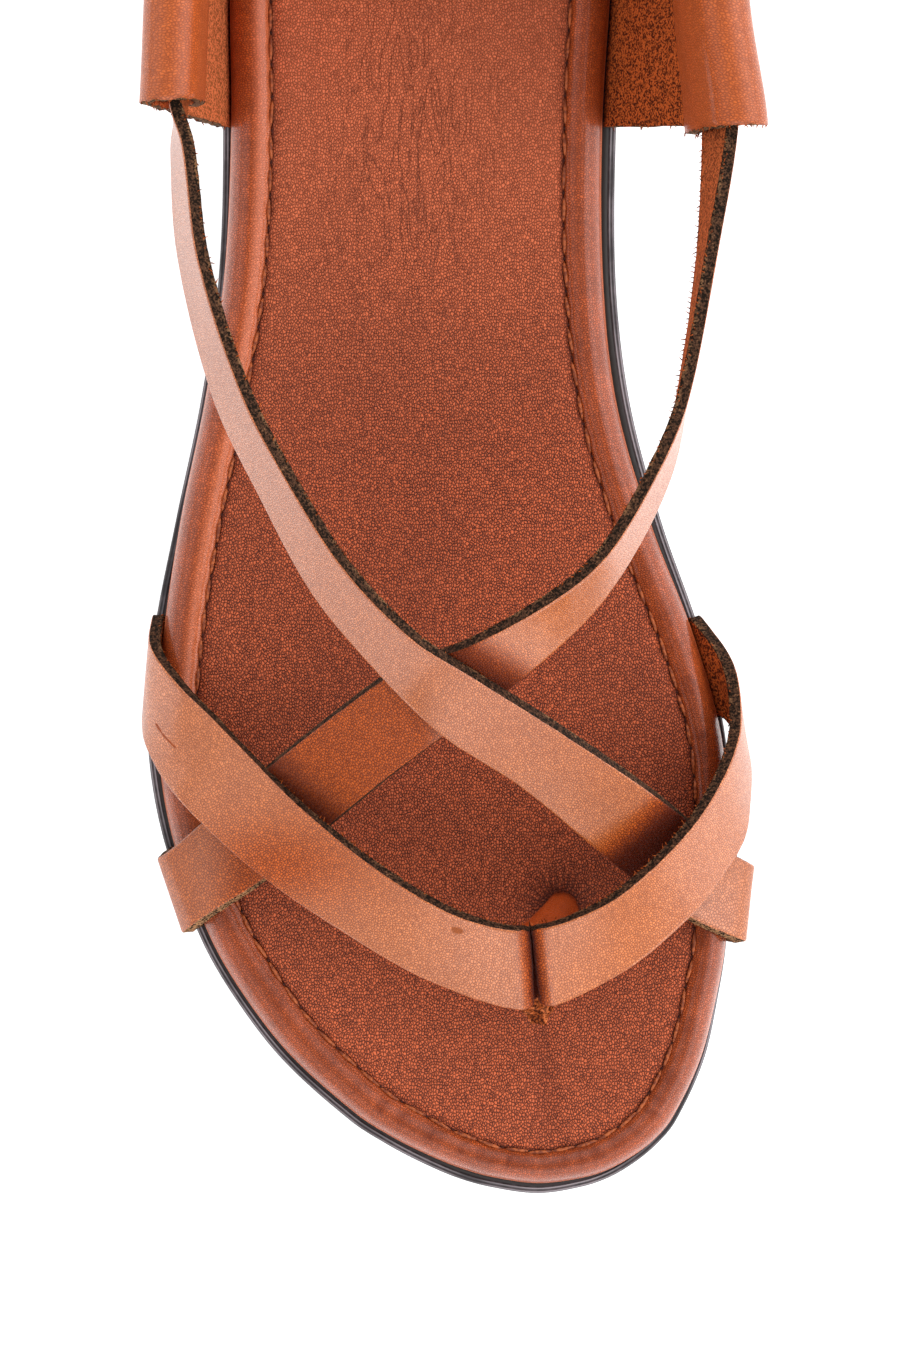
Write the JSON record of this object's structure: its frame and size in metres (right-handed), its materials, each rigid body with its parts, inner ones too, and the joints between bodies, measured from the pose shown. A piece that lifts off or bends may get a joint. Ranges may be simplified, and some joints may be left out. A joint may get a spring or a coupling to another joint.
{
  "type": "leather sandal",
  "caption": "Flat leather sandal for the right foot, with a toe post, a pleated strap over the toes and a strap that crosses over the instep and runs through a folded heel counter.",
  "frame": {"origin": "middle of the bounding box, on the floor that the sole stands on", "axes": "toe toward -Y, heel toward +Y, big toe side toward +X, up +Z"},
  "size_m": [0.0984, 0.254, 0.0622],
  "materials": {
    "sole_rubber": "matt",
    "insole_leather": "grained, low gloss",
    "rand_leather": "smooth satin",
    "strap_leather": "grained satin",
    "post_leather": "satin",
    "counter_leather": "grained outside, suede inside"
  },
  "bodies": {
    "root": {"outsole": "sole_rubber", "insole": "insole_leather", "rand": "rand_leather", "upper": "strap_leather", "toe_post": "post_leather", "heel_counter": "counter_leather"}
  },
  "joints": []
}
